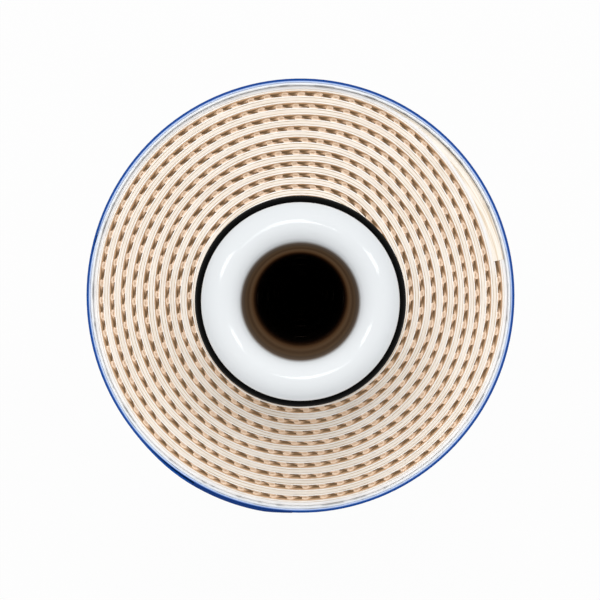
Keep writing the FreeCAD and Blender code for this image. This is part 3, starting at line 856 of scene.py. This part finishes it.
def feathered(name, winding, turns, thickness, lead, tail):
    """Flat film whose two ends thin out to fill the steps that they would leave."""
    climb = WRAP_CLIMB * winding.arcs[0, 2]
    pitch = winding.arcs[3, 2] - winding.arcs[0, 2]
    end = winding.length(turns)
    bm = flat_plate(-lead * climb, end + tail * climb, 0, thickness, wrap_low.z, wrap_high.z)
    for point in bm.verts:
        before, after = -point.co.x / climb, (point.co.x - end) / climb
        if before > 0:
            point.co.y *= min(1, 0.97 * pitch * climbed(1 - before) / thickness)
        elif after > 0:
            point.co.y *= max(0.03, 1 - pitch * climbed(after) / thickness)
    return close_mesh(name, bm)


def climbed(share):
    """Share of a pitch that a strip has climbed, at a share of its climb sector."""
    return 2 * share ** 2 if share < 0.5 else 1 - 2 * (1 - share) ** 2


film_mesh = feathered("film", film, 2, FILM_THICKNESS, 0.85, 0.55)
add_piece("film", roll_up(film_mesh, film), film_plastic, ["film_wrap"])

# %% Blue tape
TAPE_LAP = math.radians(28)
tape = Winding(TAPE_RADIUS, TAPE_THICKNESS + 0.01 * MM, WRAP_CLIMB, math.radians(215), 2)
tape_end = tape.marks[3] + TAPE_LAP * TAPE_RADIUS
tape_bm = flat_plate(0, tape_end, 0, TAPE_THICKNESS, wrap_low.z, wrap_high.z)
for point in tape_bm.verts:
    point.co.y *= min(1, max(0.1, (tape_end - point.co.x) / (3 * MM)))
add_piece("tape", roll_up(close_mesh("tape", tape_bm), tape), tape_plastic,
          ["outer_tape"])

# %% [markdown]
# ## Glue wedges
# A roll leaves two wedges where a turn climbs: one between the tube and the start of the leaf,
# and one behind its tail, under the film. Glue fills both. Each wedge is a flat plate that is
# thinned along its length and then rolled with the leaf, so that it follows the leaf's wander.

# %% Glue in the wedges
def glue_wedge(name, node, turn, outside):
    """Glue inside or outside the climb that follows a turn of the leaf."""
    start, climb = leaf.length(turn), leaf.marks[3 * turn] - leaf.length(turn)
    begin, end = (0.001, 0.9) if outside else (0.1, 0.99)
    foot, top = leaf_low.z + 0.1 * MM, leaf_high.z - 0.1 * MM
    bm = flat_plate(start + begin * climb, start + end * climb, 0, LEAF_PITCH, foot, top)
    for point in bm.verts:
        share = climbed((point.co.x - start) / climb)
        if outside:
            point.co.y = CARRIER[1] + 0.01 * MM + 0.97 * (1 - share) * point.co.y
        else:
            point.co.y = -0.01 * MM - 0.97 * share * (LEAF_PITCH - point.co.y)
    add_piece(name, roll_up(close_mesh(name, bm), leaf), glue, [node])


glue_wedge("root_glue", "leaf_root_glue", 1, False)
glue_wedge("tail_glue", "leaf_tail_glue", LEAF_TURNS, True)

# %% Finish of the CAD nodes
REPLACED = {"permeate_tube": white_plastic, "tube_end_plug": white_plastic,
            "o_ring_outer": painted_shade_ring_rubber, "o_ring_inner": painted_shade_ring_rubber, "brine_seal": seal_rubber,
            "permeate_carrier": cloth, "membrane_sheet": membrane, "feed_spacer": net_plastic,
            "film_wrap": film_plastic, "outer_tape": tape_plastic,
            "leaf_root_glue": glue, "leaf_tail_glue": glue}
for node, finish in REPLACED.items():
    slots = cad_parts[node].data.materials
    slots.clear()
    slots.append(finish.material)

# %% [markdown]
# ## Floor and background
# The element stands on a plain pale floor under a white sky. Light Path tells camera, glossy
# and transmission rays from the rays that light the element: the first three see white, and the
# floor keeps a share of its real shading, which is where the shadow lies.

# %% Floor
floor_bm = bmesh.new()
bmesh.ops.create_grid(floor_bm, x_segments=1, y_segments=1, size=2.0)
floor_mesh = bpy.data.meshes.new("floor")
floor_bm.to_mesh(floor_mesh)
floor_bm.free()
floor = bpy.data.objects.new("floor", floor_mesh)
bpy.context.scene.collection.objects.link(floor)


def seen_rays(finish):
    """1 for rays that see the background, 0 for rays that carry light."""
    rays = finish.node("LightPath").socket.node.outputs
    seen = [Wire(finish, rays[name]) for name in
            ("Is Camera Ray", "Is Glossy Ray", "Is Transmission Ray")]
    return finish.node("Math", {"operation": "ADD", "use_clamp": True},
                       {0: seen[0] + seen[1], 1: seen[2]})


paper = Finish("floor_paper", roughness=0.9, specular_ior_level=0.1)
speck = paper.noise(30.0, 2.0)
paper.feed(base_color=paper.mix(speck, colour(236, 236, 236), colour(242, 242, 242)))
glow = paper.node("Emission", None, {"Color": (1, 1, 1, 1), "Strength": 1.0})
shade = Wire(paper, paper.shader.outputs[0])
surface = paper.node("MixShader", None, {0: 0.93 * seen_rays(paper), 1: shade, 2: glow})
output = paper.tree.nodes["Material Output"]
paper.tree.links.new(surface.socket, output.inputs["Surface"])
floor_mesh.materials.append(paper.material)

# %% Sky
SKY_LIGHT = 0.6
world = bpy.data.worlds.new("white_sky")
world.use_nodes = True
bpy.context.scene.world = world


class Sky(Finish):
    """The world, which has a Background node instead of a shader of its own."""

    def __init__(self, tree):
        self.tree = tree


sky = Sky(world.node_tree)
strength = SKY_LIGHT + (1 - SKY_LIGHT) * seen_rays(sky)
background = world.node_tree.nodes["Background"]
background.inputs["Color"].default_value = (1, 1, 1, 1)
sky.link(background.inputs["Strength"], strength)

# %% [markdown]
# ## Lamps
# A large soft lamp over the upper side gives the tube its soft shadow on the leaf. Mirrored in
# the rounded tip, so large a lamp would draw a broad bright ring, so glossy rays don't see it.
# Three narrow strips are too weak to light much, but glossy plastic mirrors them as short bright
# strokes on the tip, which is how the eye tells that the tip is smooth.

# %% Soft lamps
LAMP_DISTANCE = 1.3


def soft_lamp(name, direction, lean, size, power, tint=(1, 1, 1), mirrored=True):
    """Rectangular lamp that faces the top of the element, some degrees off the vertical."""
    lamp = bpy.data.objects.new(name, bpy.data.lights.new(name, "AREA"))
    lamp.data.shape = "RECTANGLE"
    lamp.data.size, lamp.data.size_y = size
    lamp.data.energy = power
    lamp.data.color = tint
    lamp.visible_glossy = mirrored
    direction, lean = math.radians(direction), math.radians(lean)
    outward = Vector((math.sin(lean) * math.cos(direction), math.sin(lean) * math.sin(direction),
                      math.cos(lean)))
    lamp.location = Vector((0, 0, leaf_high.z)) + LAMP_DISTANCE * outward
    lamp.rotation_euler = outward.to_track_quat("Z", "Y").to_euler()
    bpy.context.scene.collection.objects.link(lamp)


soft_lamp("window", 92, 29, (0.8, 0.8), 7.0, (1.0, 0.99, 0.972), mirrored=False)
soft_lamp("left_strip", 28, 21.7, (0.14, 0.4), 1.0)
soft_lamp("front_strip", 101, 9, (0.14, 0.3), 0.7)
soft_lamp("right_strip", 155, 21.7, (0.14, 0.4), 1.0)
